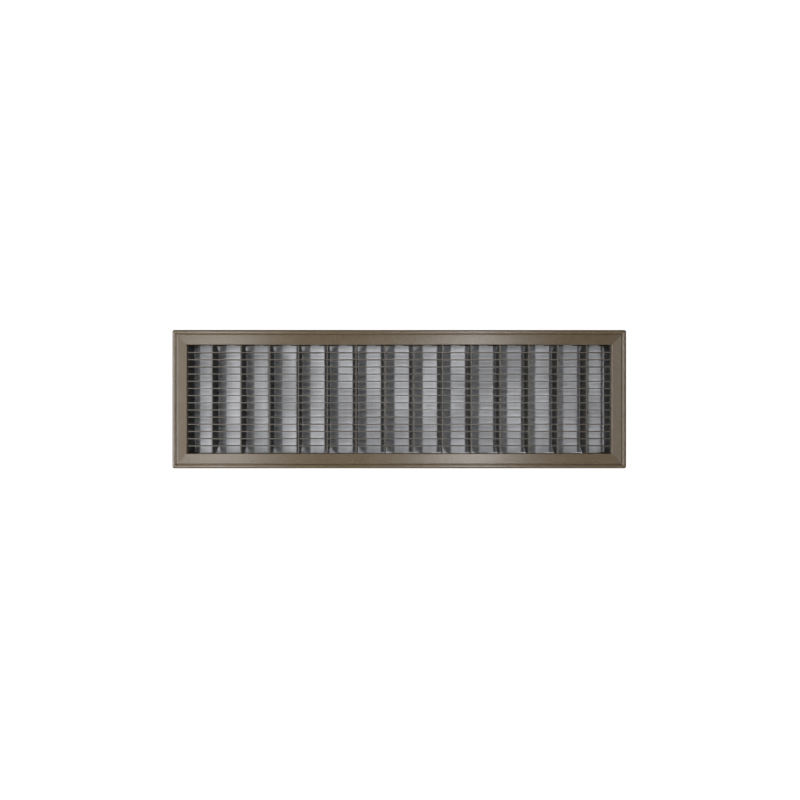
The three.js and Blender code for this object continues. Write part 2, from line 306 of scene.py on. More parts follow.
def settle(piece, name, finish, body, nodes=(), smooth=32):
    """Gives a finished piece its name, finish, shading and body, and hides the CAD nodes it stands for."""
    alone(piece)
    bpy.ops.object.transform_apply(location=True, rotation=True, scale=True)
    bpy.ops.object.shade_smooth_by_angle(angle=math.radians(smooth))
    apply_modifier(piece, "WEIGHTED_NORMAL", mode="FACE_AREA", weight=100, keep_sharp=True)
    piece.name = name
    piece.data.name = name
    piece.data.materials.clear()
    piece.data.materials.append(finish)
    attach(piece, body)
    if nodes:
        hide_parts(*nodes)


# ---------------------------------------------------------------- finishes


def new_group(name, inputs, outputs):
    """A shader node group with float inputs and the given outputs, and its input and output nodes."""
    group = bpy.data.node_groups.new(name, "ShaderNodeTree")
    for label, default in inputs:
        kind = "NodeSocketColor" if isinstance(default, tuple) else "NodeSocketFloat"
        group.interface.new_socket(label, in_out="INPUT", socket_type=kind).default_value = default
    for label, kind in outputs:
        group.interface.new_socket(label, in_out="OUTPUT", socket_type=kind)
    return group, group.nodes.new("NodeGroupInput"), group.nodes.new("NodeGroupOutput")


def add_node(tree, kind, **settings):
    node = tree.nodes.new(kind)
    for key, value in settings.items():
        setattr(node, key, value)
    return node


def maths(tree, operation, a, b=0.0):
    node = add_node(tree, "ShaderNodeMath", operation=operation)
    for socket, value in zip(node.inputs, (a, b)):
        if isinstance(value, bpy.types.NodeSocket):
            tree.links.new(value, socket)
        else:
            socket.default_value = value
    return node.outputs[0]


def stretch(tree, value, low, high, to_low=0.0, to_high=1.0):
    """Maps a value's range on to another, smoothly clamped."""
    node = add_node(tree, "ShaderNodeMapRange", interpolation_type="SMOOTHSTEP")
    tree.links.new(value, node.inputs["Value"])
    for label, number in zip(("From Min", "From Max", "To Min", "To Max"), (low, high, to_low, to_high)):
        node.inputs[label].default_value = number
    return node.outputs["Result"]


def noise(tree, where, scale, detail=3.0, roughness=0.55):
    node = add_node(tree, "ShaderNodeTexNoise")
    tree.links.new(where, node.inputs["Vector"])
    node.inputs["Scale"].default_value = scale
    node.inputs["Detail"].default_value = detail
    node.inputs["Roughness"].default_value = roughness
    return node.outputs["Fac"]


def blend_colours(tree, amount, first, second, mode="MIX"):
    node = add_node(tree, "ShaderNodeMix", data_type="RGBA", blend_type=mode)
    for socket, value in zip((node.inputs[0], node.inputs[6], node.inputs[7]), (amount, first, second)):
        if isinstance(value, bpy.types.NodeSocket):
            tree.links.new(value, socket)
        else:
            socket.default_value = value
    return node.outputs[2]


def enamel_group():
    """Baked enamel: faint orange peel, cloudy thickness and fine metallic specks."""
    group, source, sink = new_group(
        "baked_enamel",
        [("Colour", (0.1, 0.08, 0.05, 1.0)), ("Cloud", 0.16), ("Roughness", 0.3)],
        [("Colour", "NodeSocketColor"), ("Roughness", "NodeSocketFloat"), ("Height", "NodeSocketFloat")],
    )
    place = add_node(group, "ShaderNodeTexCoord").outputs["Object"]
    cloud = noise(group, place, 22, 4)
    specks = noise(group, place, 2600, 1)
    peel = noise(group, place, 420, 2)
    fine = noise(group, place, 1500, 2)
    shade = maths(group, "MULTIPLY", maths(group, "SUBTRACT", cloud, 0.5), source.outputs["Cloud"])
    level = maths(group, "ADD", shade, stretch(group, specks, 0.45, 0.75, 0.96, 1.1))
    grey = add_node(group, "ShaderNodeCombineColor")
    for channel in range(3):
        group.links.new(level, grey.inputs[channel])
    colour = blend_colours(group, 1.0, source.outputs["Colour"], grey.outputs[0], "MULTIPLY")
    group.links.new(colour, sink.inputs["Colour"])
    rough = maths(group, "ADD", source.outputs["Roughness"], maths(group, "MULTIPLY", shade, 0.5))
    rough = maths(group, "ADD", rough, stretch(group, fine, 0.3, 0.7, -0.03, 0.04))
    group.links.new(rough, sink.inputs["Roughness"])
    height = maths(group, "ADD", peel, maths(group, "MULTIPLY", fine, 0.25))
    group.links.new(height, sink.inputs["Height"])
    return group


def zinc_group():
    """Galvanised sheet: spangle crystals, rolling streaks, white bloom and dull smudges."""
    group, source, sink = new_group(
        "galvanised_sheet",
        [("Colour", (0.6, 0.6, 0.62, 1.0)), ("Spangle", 0.12), ("Roughness", 0.42)],
        [("Colour", "NodeSocketColor"), ("Roughness", "NodeSocketFloat"), ("Height", "NodeSocketFloat")],
    )
    place = add_node(group, "ShaderNodeTexCoord").outputs["Object"]
    crystals = add_node(group, "ShaderNodeTexVoronoi", feature="F1")
    group.links.new(place, crystals.inputs["Vector"])
    crystals.inputs["Scale"].default_value = 170
    split = add_node(group, "ShaderNodeSeparateColor")
    group.links.new(crystals.outputs["Color"], split.inputs[0])
    along = add_node(group, "ShaderNodeMapping")
    group.links.new(place, along.inputs["Vector"])
    along.inputs["Scale"].default_value = (1, 1, 0.04)
    streaks = noise(group, along.outputs[0], 900, 3)
    smudge = noise(group, place, 14, 4)
    grain = noise(group, place, 1800, 2)
    facet = maths(group, "MULTIPLY", maths(group, "SUBTRACT", split.outputs[0], 0.5), source.outputs["Spangle"])
    level = maths(group, "ADD", facet, stretch(group, streaks, 0.3, 0.7, 0.95, 1.05))
    level = maths(group, "MULTIPLY", level, stretch(group, smudge, 0.35, 0.7, 1.03, 0.9))
    grey = add_node(group, "ShaderNodeCombineColor")
    for channel in range(3):
        group.links.new(level, grey.inputs[channel])
    colour = blend_colours(group, 1.0, source.outputs["Colour"], grey.outputs[0], "MULTIPLY")
    group.links.new(colour, sink.inputs["Colour"])
    rough = maths(group, "ADD", source.outputs["Roughness"], maths(group, "MULTIPLY", facet, 0.8))
    rough = maths(group, "ADD", rough, stretch(group, smudge, 0.35, 0.7, -0.04, 0.1))
    group.links.new(rough, sink.inputs["Roughness"])
    flake_height = maths(group, "MULTIPLY", split.outputs[1], 0.5)
    height = maths(group, "ADD", flake_height, maths(group, "ADD", streaks, grain))
    group.links.new(height, sink.inputs["Height"])
    return group


def lit_front_group():
    """How much of a bar's front edge shows: 1 along the edge itself, 0 on the sides behind it."""
    group, source, sink = new_group(
        "painted_lit_front", [("Depth", -0.006), ("Band", 0.0006)], [("Mask", "NodeSocketFloat")]
    )
    place = add_node(group, "ShaderNodeTexCoord").outputs["Object"]
    split = add_node(group, "ShaderNodeSeparateXYZ")
    group.links.new(place, split.inputs[0])
    behind = maths(group, "SUBTRACT", split.outputs["Y"], source.outputs["Depth"])
    part = maths(group, "DIVIDE", behind, source.outputs["Band"])
    ragged = maths(group, "ADD", part, stretch(group, noise(group, place, 500, 3), 0.3, 0.7, -0.35, 0.35))
    group.links.new(stretch(group, ragged, 0.3, 1.0, 1.0, 0.0), sink.inputs["Mask"])
    return group


def paint_lit_front(material, lit_colour):
    """Paints the bars' front edges in a lighter enamel than their sides: the front painted as lit, against the
    painted shade of the sides.
    """
    tree = material.node_tree
    shader = tree.nodes["Principled BSDF"]
    edge = add_node(tree, "ShaderNodeGroup", node_tree=lit_front_group())
    enamel = shader.inputs["Base Color"].links[0].from_socket
    tree.links.new(blend_colours(tree, edge.outputs["Mask"], enamel, lit_colour), shader.inputs["Base Color"])


def material_of(name, group, colour, metallic, bump, **values):
    """A Principled material fed by a shared effect group with this material's own values."""
    material = bpy.data.materials.new(name)
    material.use_nodes = True
    tree = material.node_tree
    shader = tree.nodes["Principled BSDF"]
    effect = add_node(tree, "ShaderNodeGroup", node_tree=group)
    effect.inputs["Colour"].default_value = colour
    for label, value in values.items():
        effect.inputs[label].default_value = value
    tree.links.new(effect.outputs["Colour"], shader.inputs["Base Color"])
    tree.links.new(effect.outputs["Roughness"], shader.inputs["Roughness"])
    relief = add_node(tree, "ShaderNodeBump")
    relief.inputs["Strength"].default_value = bump
    relief.inputs["Distance"].default_value = 0.02 * MM
    tree.links.new(effect.outputs["Height"], relief.inputs["Height"])
    tree.links.new(relief.outputs[0], shader.inputs["Normal"])
    shader.inputs["Metallic"].default_value = metallic
    return material


FINISHES = {}


def finish(name):
    """The named finish, made the first time it is asked for."""
    if not FINISHES:
        colours = bpy.context.scene.register_colours
        enamel = enamel_group()
        zinc = zinc_group()
        FINISHES["frame"] = material_of(
            "frame_enamel", enamel, colours.enamel, 0.0, 0.12, Cloud=0.1, Roughness=0.26
        )
        # The bars and the casing take the darkened enamel: painted shade on their deep sides and insides.
        for pieces, label in (("bars", "bar_enamel"), ("casing", "shaded_casing_enamel")):
            FINISHES[pieces] = material_of(
                label, enamel, colours.bar_enamel, 0.0, 0.12, Cloud=0.2, Roughness=0.42
            )
        # Painted highlight on the bars' front edges, lighter than their painted-shade sides.
        paint_lit_front(FINISHES["bars"], colours.lit_bar_front)
        FINISHES["blades"] = material_of(
            "blade_zinc", zinc, colours.zinc, 0.6, 0.1, Spangle=0.04, Roughness=0.58
        )
        FINISHES["fittings"] = material_of(
            "fitting_zinc", zinc, colours.zinc, 0.85, 0.3, Spangle=0.05, Roughness=0.36
        )
    return FINISHES[name]


# ---------------------------------------------------------------- the pieces


def frame_ring(sizes):
    """The folded frame as one closed ring: hem, outer wall, rolled bead, groove, face and lip."""
    bpy.ops.object.select_all(action="DESELECT")
    bpy.ops.mesh.primitive_plane_add(size=1, rotation=(math.pi / 2, 0, 0))
    ring = bpy.context.object
    ring.scale = (2 * HALF_X, 2 * HALF_Z, 1)
    bpy.ops.object.transform_apply(location=True, rotation=True, scale=True)
    edit(ring)
    bpy.ops.mesh.select_all(action="SELECT")
    bpy.ops.mesh.bevel(offset=sizes.corner, segments=8, affect="VERTICES")
    bpy.ops.mesh.select_all(action="SELECT")
    wall = 4.2 * MM
    last_radius = 0.35 * MM
    push(y=-wall)
    reach = 0.0
    height = wall

    def step_to(new_reach, new_height):
        nonlocal reach, height
        bpy.ops.mesh.inset(thickness=new_reach - reach, depth=new_height - height, use_even_offset=True)
        reach, height = new_reach, new_height

    def square_corners(facing):
        """Draws each rounded corner of the selected face together, once its radius has almost gone."""
        for corner_x in (-1, 1):
            for corner_z in (-1, 1):
                corner = Vector((corner_x * (HALF_X - reach), 0, corner_z * (HALF_Z - reach)))
                plane = facing * height
                pick("VERT", lambda v: abs(v.co.y - plane) < SAME
                     and abs(v.co.x - corner.x) < MM and abs(v.co.z - corner.z) < MM)
                bpy.ops.mesh.merge(type="CENTER")
        pick("FACE", lambda f: abs(f.normal.y) > 0.99 and abs(middle(f).y - plane) < SAME
             and f.calc_area() > HALF_X * HALF_Z)

    # The bead rises as a quarter ellipse, and the corner's rounding dies out at its crown.
    crown = sizes.corner - last_radius
    rise = 6
    for i in range(1, rise + 1):
        turn = i / rise * math.pi / 2
        step_to(crown * (1 - math.cos(turn)), wall + (sizes.bead_height - wall) * math.sin(turn))
    square_corners(-1)
    # Then it falls away into the groove, and the face starts on the groove's far side.
    groove_middle = 5.9 * MM
    groove_floor = 5.2 * MM
    start = reach
    fall = 5
    for i in range(1, fall + 1):
        turn = i / fall * math.pi / 2
        step_to(
            start + (groove_middle - 0.3 * MM - start) * math.sin(turn),
            groove_floor + (sizes.bead_height - groove_floor) * math.cos(turn),
        )
    # Each step past the groove's middle, with the part of its depth that is climbed there.
    for past, part in ((0.1, 0.0), (0.45, 0.55), (0.8, 0.9), (1.4, 1.05)):
        step_to(groove_middle + past * MM, groove_floor + part * sizes.groove)
    # The face rises gently and rolls over into the lip, whose return runs back inside the opening.
    roll = 1.35 * MM
    lip_return = 1.7 * MM
    step_to(BORDER - roll, sizes.face_height)
    turns = 6
    for i in range(1, turns + 1):
        turn = i / turns * math.pi / 2
        step_to(BORDER - roll + roll * math.sin(turn), sizes.face_height - roll * (1 - math.cos(turn)))
    push(y=sizes.face_height - roll - lip_return)
    bpy.ops.mesh.delete(type="FACE")
    # Behind, the hem is turned in on the wall plane.
    reach = 0.0
    height = 0.0
    pick("FACE", lambda f: f.normal.y > 0.99 and middle(f).y > -SAME)
    step_to(crown, 0.0)
    square_corners(1)
    step_to(sizes.hem, 0.0)
    bpy.ops.mesh.delete(type="FACE")
    rear_roll = 1.45 * MM
    pick("EDGE", lambda e: all(abs(v.co.y) < NEAR for v in e.verts) and at_outer_edge(e, sizes.corner))
    bpy.ops.mesh.bevel(offset=rear_roll, segments=4, affect="EDGES")
    tidy_mesh()
    done()
    apply_modifier(ring, "SOLIDIFY", thickness=sizes.sheet, offset=-1, use_even_offset=True)
    return ring


def at_outer_edge(edge, corner):
    """True for an edge on the rounded rectangle that bounds the frame."""
    for v in edge.verts:
        past_x = abs(v.co.x) - (HALF_X - corner)
        past_z = abs(v.co.z) - (HALF_Z - corner)
        if past_x > 0 and past_z > 0:
            short = corner - math.hypot(past_x, past_z)
        else:
            short = corner - max(past_x, past_z)
        if abs(short) > NEAR:
            return False
    return True


class REGISTER_OT_frame(bpy.types.Operator):
    """Folded frame rails with a rolled bead, mitred at the corners"""

    bl_idname = "register.frame"
    bl_label = "Frame rails"

    def execute(self, context):
        sizes = context.scene.register_frame
        ring = frame_ring(sizes)
        gap = 0.06 * MM
        # For each rail, the way it lies from the centre.
        for side, across, up in (("top", 0, 1), ("right", 1, 0), ("bottom", 0, -1), ("left", -1, 0)):
            rail = copy_of(ring, "rail", Vector())
            cut_or_join(rail, self.beyond(Vector(), Vector((across, 0, up))), "DIFFERENCE")
            seams = []
            for other in (-1, 1):
                corner_x = across if across else other
                corner_z = up if up else other
                corner = Vector((corner_x * HALF_X, 0, corner_z * HALF_Z))
                normal = Vector((across - (0 if across else other), 0, up - (0 if up else other))).normalized()
                seams.append((corner + normal * gap, normal))
            for place, normal in seams:
                cut_or_join(rail, self.beyond(place, normal), "DIFFERENCE")
            edit(rail)
            tidy_mesh()
            pick("EDGE", lambda e: self.on_seam(e, seams))
            bpy.ops.mesh.bevel(offset=sizes.seam, segments=2, affect="EDGES")
            done()
            settle(rail, "rail_" + side, finish("frame"), "housing", ("frame_" + side,))
        bpy.data.objects.remove(ring)
        return {"FINISHED"}

    def on_seam(self, edge, seams):
        """True for the edge of the flat face along a mitre, between the groove and the lip."""
        groove_end, lip_start, face_front = 7.0 * MM, BORDER - MM, -5.85 * MM
        insets = [min(HALF_X - abs(v.co.x), HALF_Z - abs(v.co.z)) for v in edge.verts]
        in_plane = any(all(abs((v.co - p).dot(n)) < 2 * SAME for v in edge.verts) for p, n in seams)
        front = max(v.co.y for v in edge.verts) < face_front
        return in_plane and front and min(insets) > groove_end and max(insets) < lip_start

    def beyond(self, place, normal):
        """A block that fills the space behind a plane across the frame."""
        reach = 4 * HALF_X
        wall = block((-reach, -HALF_Z, -reach), (0, HALF_Z, reach))
        wall.rotation_euler.y = math.atan2(-normal.z, normal.x)
        wall.location = place
        alone(wall)
        bpy.ops.object.transform_apply(location=True, rotation=True, scale=True)
        return wall


class REGISTER_OT_face_bars(bpy.types.Operator):
    """Thin level bars on edge, across the whole opening"""

    bl_idname = "register.face_bars"
    bl_label = "Face bars"

    def execute(self, context):
        edge = context.scene.register_bars.edge
        low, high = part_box(FACE_BARS[0])
        master = block(low, high)
        edit(master)
        pick("FACE", lambda f: abs(f.normal.x) > 0.9)
        bpy.ops.mesh.inset(thickness=0.35 * MM, depth=-0.2 * MM)
        pick("EDGE", lambda e: abs(e.verts[0].co.x - e.verts[1].co.x) > 0.1)
        bpy.ops.mesh.bevel(offset=edge, segments=3, affect="EDGES")
        tidy_mesh()
        done()
        for node in FACE_BARS:
            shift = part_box(node)[0] - low
            bar = copy_of(master, "bar", shift)
            name = node.replace("face_bar", "level_bar")
            settle(bar, name, finish("bars"), "housing", (node,))
        bpy.data.objects.remove(master)
        return {"FINISHED"}


class REGISTER_OT_support_bars(bpy.types.Operator):
    """Deeper upright bars, slotted for the face bars, with slanted rear corners"""

    bl_idname = "register.support_bars"
    bl_label = "Support bars"

    def execute(self, context):
        sizes = context.scene.register_bars
        low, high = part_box(SUPPORT_BARS[0])
        tab_back = -1.2 * MM
        tab_end = LIP_Z - 0.4 * MM
        slant_depth = 15.5 * MM
        slant_height = 11 * MM
        clear = 2 * MM
        master = block((low.x, tab_back, low.z), high)
        edit(master)
        for end in (-1, 1):
            bpy.ops.mesh.select_all(action="SELECT")
            bpy.ops.mesh.bisect(plane_co=(0, 0, end * tab_end), plane_no=(0, 0, 1))
        pick("FACE", lambda f: f.normal.y < -0.9 and abs(middle(f).z) < tab_end)
        push(y=low.y - tab_back)
        for end in (-1, 1):
            start = Vector((0, high.y - slant_depth, end * high.z))
            stop = Vector((0, high.y, end * (high.z - slant_height)))
            along = stop - start
            outward = Vector((0, abs(along.z), end * along.y)).normalized()
            bpy.ops.mesh.select_all(action="SELECT")
            bpy.ops.mesh.bisect(plane_co=start, plane_no=outward, use_fill=True, clear_outer=True)
        tidy_mesh()
        done()
        bar_low, bar_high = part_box(FACE_BARS[0])
        play = sizes.slot_play
        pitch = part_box(FACE_BARS[1])[0].z - bar_low.z
        cutter = block(
            (low.x - clear, low.y - clear, bar_low.z - play),
            (high.x + clear, bar_high.y + play, bar_high.z + play),
        )
        apply_modifier(
            cutter, "ARRAY", count=len(FACE_BARS), use_relative_offset=False, use_constant_offset=True,
            constant_offset_displace=(0, 0, pitch),
        )
        cut_or_join(master, cutter, "DIFFERENCE")
        soften(master, 0.16 * MM)
        for node in SUPPORT_BARS:
            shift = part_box(node)[0] - low
            bar = copy_of(master, "bar", shift)
            name = node.replace("support_bar", "upright_bar")
            settle(bar, name, finish("bars"), "housing", (node,))
        bpy.data.objects.remove(master)
        return {"FINISHED"}


def blade_master(node, sizes):
    """One pressed blade in its place: panel, slanted and steep sides, lips, ears, pivots and crank pin."""
    low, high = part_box(node)
    pivot = PIVOTS[node]
    rear = pivot.y
    rise = 7.5 * MM
    right_rise = 1.1 * MM
    steep_run = 4.2 * MM
    # The cell's width, the flat wing, the slanted side and the panel's right margin, in millimetres. The two
    # end blades are narrow.
    narrow = high.x - low.x < 40 * MM
    cell, wing, slope, margin = (35.2, 1.4, 9.2, 7.0) if narrow else (41.2, 1.6, 12.4, 6.5)
    half = cell / 2 * MM
    panel_left = pivot.x - half + (wing + slope) * MM
    panel_right = pivot.x + half - margin * MM
    corners = [
        (low.x, rear),
        (pivot.x - half + wing * MM, rear),
        (panel_left, rear - rise),
        (panel_right, rear - rise),
        (panel_right + steep_run, rear - right_rise),
        (high.x, rear - right_rise),
    ]
    top = PIN_END - 4.1 * MM
    blade = folded_sheet(corners, -top, top)
    edit(blade)
    pick("EDGE", lambda e: any(
        all((v.co.xy - Vector(c)).length < SAME for v in e.verts) for c in corners[1:-1]
    ))
    bpy.ops.mesh.bevel(offset=sizes.bend, segments=sizes.bend_steps, affect="EDGES")
    bpy.ops.mesh.select_all(action="SELECT")
    bpy.ops.mesh.remove_doubles(threshold=SAME)
    done()
    # The sheet's front is the folded line, and its thickness goes to the rear.
    facing = sum(p.normal.y * p.area for p in blade.data.polygons)
    if facing > 0:
        edit(blade)
        bpy.ops.mesh.select_all(action="SELECT")
        bpy.ops.mesh.flip_normals()
        done()
    apply_modifier(blade, "SOLIDIFY", thickness=sizes.sheet, offset=-1, use_even_offset=True)
    soften(blade, 0.1 * MM, 1, 50)
    for end in (-1, 1):
        ear = ear_solid(pivot, end, crank=end < 0)
        cut_or_join(blade, ear, "UNION")
    return blade


def ear_solid(pivot, end, crank):
    """An ear folded back from the panel's end, with its pivot pin and, on the lower one, the crank pin."""
    inner, outer = PIN_END - 4.3 * MM, PIN_END - 3.3 * MM
    low_z, high_z = sorted((end * inner, end * outer))
    # The ear starts inside the panel's sheet, and narrows to the round end about the pivot.
    panel_back = pivot.y - 7.1 * MM
    half = 6.2 * MM
    round_end = 4 * MM
    narrowing = 0.6
    ear = block((pivot.x - half, panel_back, low_z), (pivot.x + half, pivot.y, high_z))
    edit(ear)
    pick("FACE", lambda f: f.normal.y > 0.9)
    bpy.ops.transform.resize(value=(narrowing, 1, 1), center_override=(pivot.x, pivot.y, 0))
    done()
    cut_or_join(ear, rod(round_end, low_z, high_z, pivot.x, pivot.y, 40), "UNION")
    if crank:
        cut_or_join(ear, crank_arm(pivot, low_z, high_z), "UNION")
    weld(ear)
    soften(ear, 0.12 * MM, 2)
    pin_low, pin_high = sorted((end * (outer - 0.3 * MM), end * PIN_END))
    pin = rod(2 * MM, pin_low, pin_high, pivot.x, pivot.y, 32)
    soften(pin, 0.25 * MM, 2)
    cut_or_join(ear, pin, "UNION")
    if crank:
        foot = pivot + CRANK
        post = rod(1.5 * MM, -(PIN_END - 1.4 * MM), high_z - 0.3 * MM, foot.x, foot.y, 28)
        soften(post, 0.2 * MM, 2)
        cut_or_join(ear, post, "UNION")
    return ear


def crank_arm(pivot, low_z, high_z):
    """The arm from the pivot to the crank pin, round at its far end."""
    half_width = 2.8 * MM
    arm = block((0, -half_width, low_z), (CRANK.length, half_width, high_z))
    cut_or_join(arm, rod(half_width, low_z, high_z, CRANK.length, 0, 32), "UNION")
    arm.rotation_euler.z = math.atan2(CRANK.y, CRANK.x)
    arm.location = (pivot.x, pivot.y, 0)
    alone(arm)
    bpy.ops.object.transform_apply(location=True, rotation=True, scale=True)
    return arm


class REGISTER_OT_blades(bpy.types.Operator):
    """Pressed shutter blades, one to each space between the support bars"""

    bl_idname = "register.blades"
    bl_label = "Shutter blades"

    def execute(self, context):
        sizes = context.scene.register_blades
        masters = {BLADES[0]: None, BLADES[1]: None, BLADES[-1]: None}
        for node in masters:
            masters[node] = blade_master(node, sizes)
        for node in BLADES:
            model = node if node in masters else BLADES[1]
            blade = copy_of(masters[model], "blade", PIVOTS[node] - PIVOTS[model])
            name = node.replace("blade", "shutter_blade")
            settle(blade, name, finish("blades"), node, (node,), smooth=24)
        for master in masters.values():
            bpy.data.objects.remove(master)
        return {"FINISHED"}


class REGISTER_OT_casing(bpy.types.Operator):
    """Casing rails that carry the pivots, and the two end plates"""

    bl_idname = "register.casing"
    bl_label = "Casing"

    def execute(self, context):
        pivot_hole = 2.1 * MM
        clear = 3 * MM
        for side, sign in (("top", 1), ("bottom", -1)):
            node = "casing_rail_" + side
            low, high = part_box(node)
            reach = high.z if sign > 0 else -low.z
            rail = self.fold(low, high, reach, sign)
            for blade in BLADES:
                x, y, _ = PIVOTS[blade]
                hole = rod(pivot_hole, sign * CASING_Z - clear, sign * CASING_Z + clear, x, y, 32)
                cut_or_join(rail, hole, "DIFFERENCE")
            soften(rail, 0.15 * MM, 1, 40)
            settle(rail, "case_rail_" + side, finish("casing"), "housing", (node,))
        for side, sign in (("right", 1), ("left", -1)):
            node = "casing_end_" + side
            low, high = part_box(node)
            inner = CASING_X * sign
            outer = high.x if sign > 0 else low.x
            corners = [(outer, low.y), (inner, low.y), (inner, high.y)]
            plate = folded_sheet(corners, low.z, high.z)
            self.round_fold(plate, Vector((inner, low.y)))
            self.thicken(plate, Vector((-sign, 0, 0)))
            # The rear corners are notched, so that the rails' turned-in edges go past them.
            for end in (-1, 1):
                corner = Vector((outer, high.y, end * high.z))
                room = Vector((clear, CASING_SHEET + 0.35 * MM, CASING_RETURN))
                cut_or_join(plate, block(corner - room, corner + room), "DIFFERENCE")
            soften(plate, 0.15 * MM, 1, 40)
            settle(plate, "case_end_" + side, finish("casing"), "housing", (node,))
        return {"FINISHED"}

    def fold(self, low, high, reach, sign):
        """A rail: a web along the duct, turned outwards at the front and inwards at the rear."""
        bpy.ops.object.select_all(action="DESELECT")
        rear = high.y - CASING_SHEET
        bpy.ops.mesh.primitive_plane_add(size=1, location=(0, (low.y + rear) / 2, sign * CASING_Z))
        rail = bpy.context.object
        rail.scale = (high.x - low.x, rear - low.y, 1)
        bpy.ops.object.transform_apply(location=True, rotation=True, scale=True)
        edit(rail)
        pick("EDGE", lambda e: all(v.co.y < low.y + SAME for v in e.verts))
        push(z=sign * (reach - CASING_Z))
        pick("EDGE", lambda e: all(v.co.y > rear - SAME for v in e.verts))
        push(z=-sign * CASING_RETURN)
        pick("EDGE", lambda e: all(abs(v.co.z - sign * CASING_Z) < SAME for v in e.verts)
             and abs(e.verts[0].co.y - e.verts[1].co.y) < SAME)
        bpy.ops.mesh.bevel(offset=CASING_FOLD, segments=4, affect="EDGES")
        done()
        self.thicken(rail, Vector((0, 0, -sign)))
        return rail

    def round_fold(self, plate, place):
        edit(plate)
        pick("EDGE", lambda e: all((v.co.xy - place).length < SAME for v in e.verts))
        bpy.ops.mesh.bevel(offset=CASING_FOLD, segments=4, affect="EDGES")
        done()

    def thicken(self, sheet, inward):
        """Gives the folded sheet its thickness on the side away from the shutter."""
        edit(sheet)
        tidy_mesh()
        done()
        web = max(sheet.data.polygons, key=lambda p: abs(p.normal.dot(inward)) * p.area)
        if web.normal.dot(inward) < 0:
            edit(sheet)
            bpy.ops.mesh.select_all(action="SELECT")
            bpy.ops.mesh.flip_normals()
            done()
        apply_modifier(sheet, "SOLIDIFY", thickness=CASING_SHEET, offset=-1, use_even_offset=True)


class REGISTER_OT_tie_bar(bpy.types.Operator):
    """The strip that joins the crank pins, and the push-on washers that hold it"""

    bl_idname = "register.tie_bar"
    bl_label = "Tie bar"

    def execute(self, context):
        low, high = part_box("tie_bar")
        bar = block(low, high)
        edit(bar)
        pick("EDGE", lambda e: abs(e.verts[0].co.z - e.verts[1].co.z) > 0.5 * MM)
        end_radius, pin_hole = 2.9 * MM, 1.6 * MM
        bpy.ops.mesh.bevel(offset=end_radius, segments=6, affect="EDGES")
        done()
        pins = [PIVOTS[node] + CRANK for node in BLADES]
        for pin in pins:
            cut_or_join(bar, rod(pin_hole, low.z - MM, high.z + MM, pin.x, pin.y, 28), "DIFFERENCE")
        soften(bar, 0.14 * MM, 2, 40)
        settle(bar, "tie_strip", finish("fittings"), "tie_bar", ("tie_bar",))
        washer = self.washer(pins[0], low.z - 0.4 * MM, 0.34 * MM)
        for node, pin in zip(BLADES, pins):
            ring = copy_of(washer, "washer", pin - pins[0])
            settle(ring, node.replace("blade", "push_washer"), finish("fittings"), node)
        bpy.data.objects.remove(washer)
        return {"FINISHED"}

    def washer(self, pin, bottom, thickness):
        """A push-on washer, open in the middle, that grips the pin."""
        ring = rod(3.1 * MM, bottom, bottom + thickness, pin.x, pin.y, 24)
        edit(ring)
        pick("FACE", lambda f: abs(f.normal.z) > 0.9)
        bpy.ops.mesh.inset(thickness=1.52 * MM)
        bpy.ops.mesh.bridge_edge_loops()
        tidy_mesh()
        done()
        soften(ring, 0.1 * MM, 1, 40)
        return ring


class REGISTER_OT_hidden_parts(bpy.types.Operator):
    """Finishes for the CAD pieces that stay as they are"""

    bl_idname = "register.hidden_parts"
    bl_label = "Gussets"

    def execute(self, context):
        for node, obj in frame["nodes"].items():
            if node.startswith("gusset"):
                obj.data.materials.clear()
                obj.data.materials.append(finish("fittings"))
        return {"FINISHED"}


# ---------------------------------------------------------------- studio


class StageSizes(bpy.types.PropertyGroup):
    distance: FloatProperty(
        name="Camera distance", description="Camera to the wall plane", default=0.9025, unit="LENGTH"
    )
    lens: FloatProperty(name="Lens", description="Focal length in millimetres", default=28.2)
    floor_drop: FloatProperty(
        name="Floor drop", description="How far the floor is below the centre", default=0.5, unit="LENGTH"
    )


def softbox(name, place, aim, width, height, power):
    """An area light of the given size at a place, turned to its aim."""
    data = bpy.data.lights.new(name, "AREA")
    data.shape = "RECTANGLE"
    data.size = width
    data.size_y = height
    data.energy = power
    obj = bpy.data.objects.new(name, data)
    obj.location = place
    obj.rotation_euler = (Vector(aim) - Vector(place)).to_track_quat("-Z", "Y").to_euler()
    bpy.context.scene.collection.objects.link(obj)


